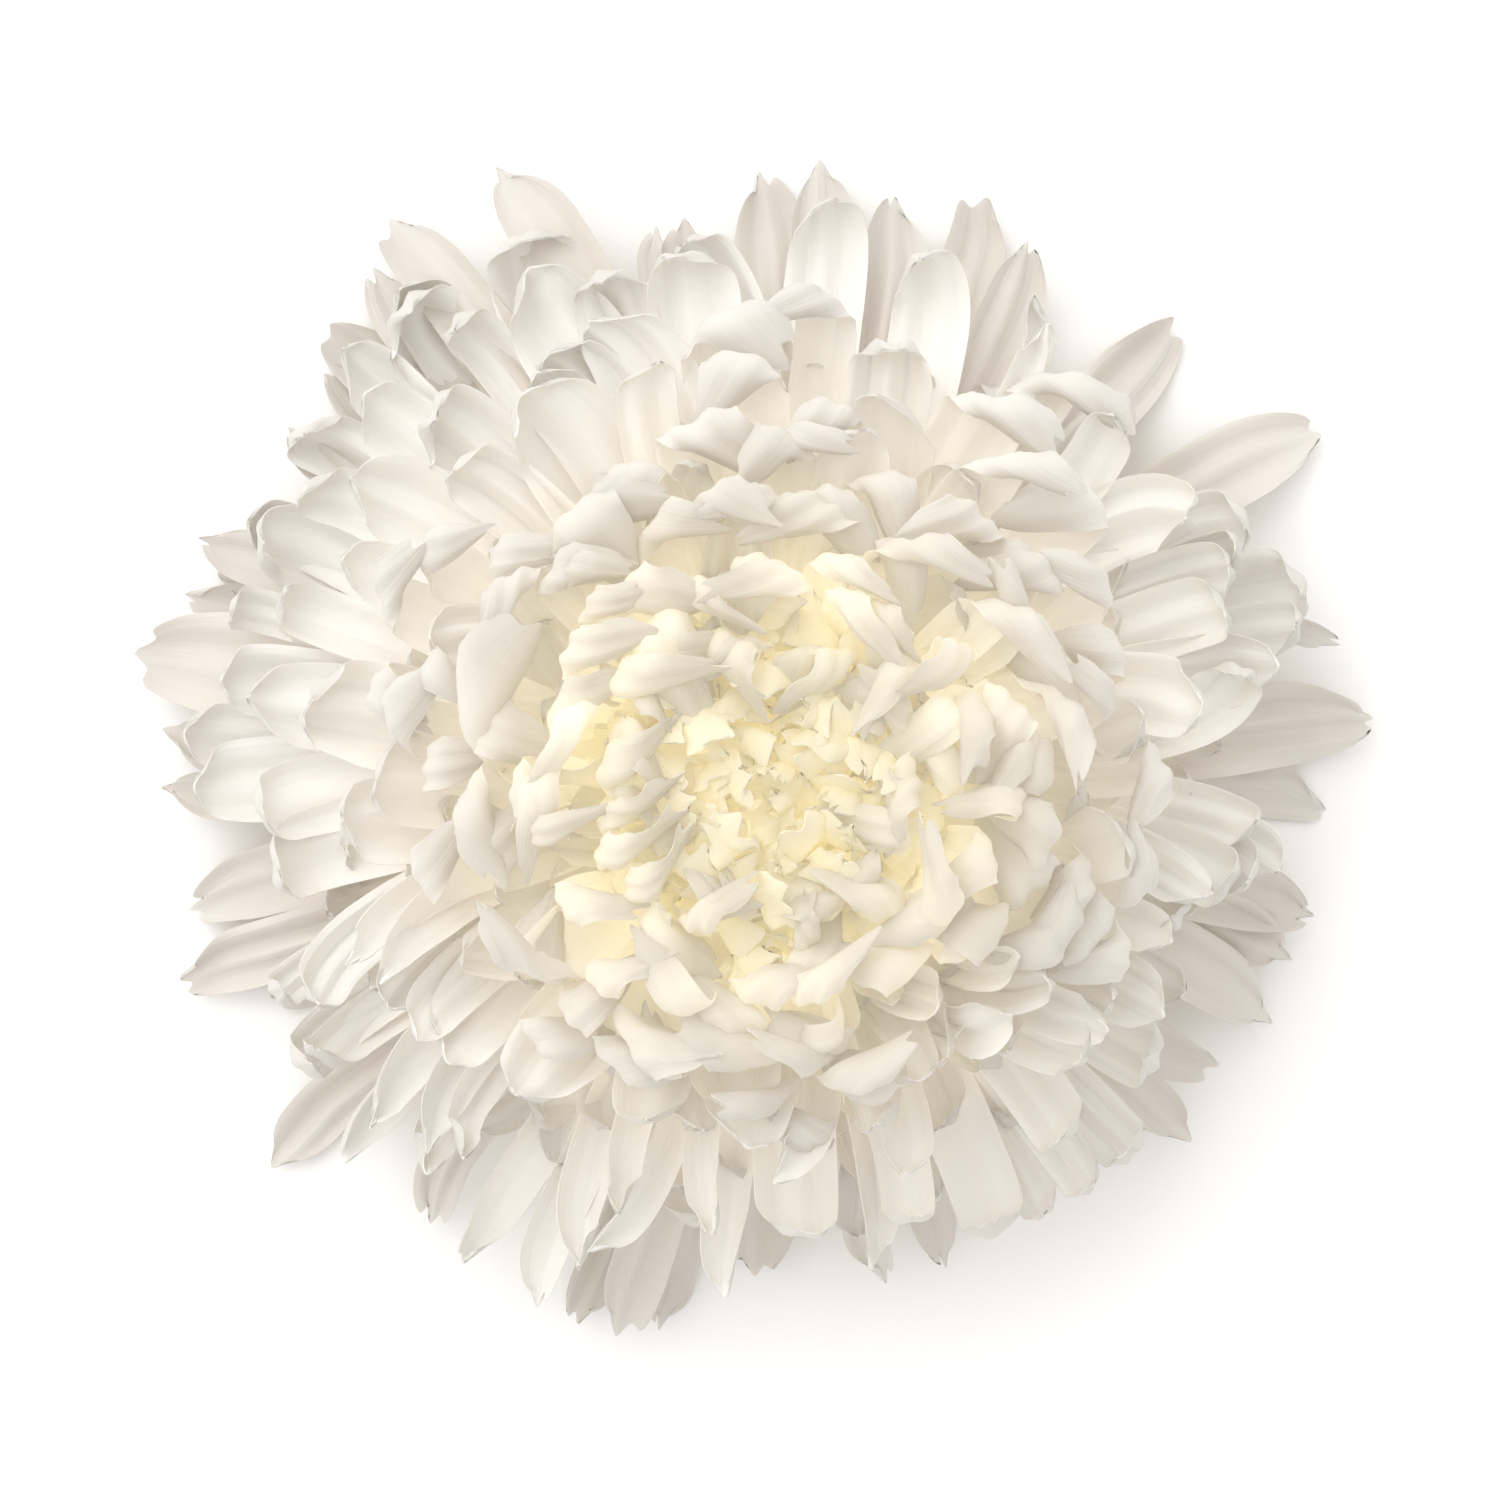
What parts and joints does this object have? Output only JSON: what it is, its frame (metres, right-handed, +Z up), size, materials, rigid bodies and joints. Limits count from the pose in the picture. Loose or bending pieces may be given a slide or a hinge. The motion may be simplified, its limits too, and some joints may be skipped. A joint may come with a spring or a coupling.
{
  "type": "disbud chrysanthemum",
  "caption": "Large white disbud chrysanthemum bloom cut with a short stem stub, lying face up on its guard petals.",
  "frame": {"origin": "middle of the bloom's footprint on the surface that it rests on", "axes": "+Z up out of the bloom's face, +X to the right and +Y to the top of the bloom as it is seen from above"},
  "size_m": [0.1492, 0.1413, 0.0634],
  "materials": {
    "stem": "matte green, ridged and finely hairy, with a pale cut end",
    "calyx": "matte green with thin pale papery edges",
    "ray_petals": "soft satin white, slightly translucent, with fine lengthwise grooves",
    "heart_florets": "soft satin cream yellow, slightly translucent"
  },
  "bodies": {
    "root": {"stem": "stem", "calyx": "calyx", "ray_petals": "ray_petals", "heart_florets": "heart_florets"}
  },
  "joints": []
}
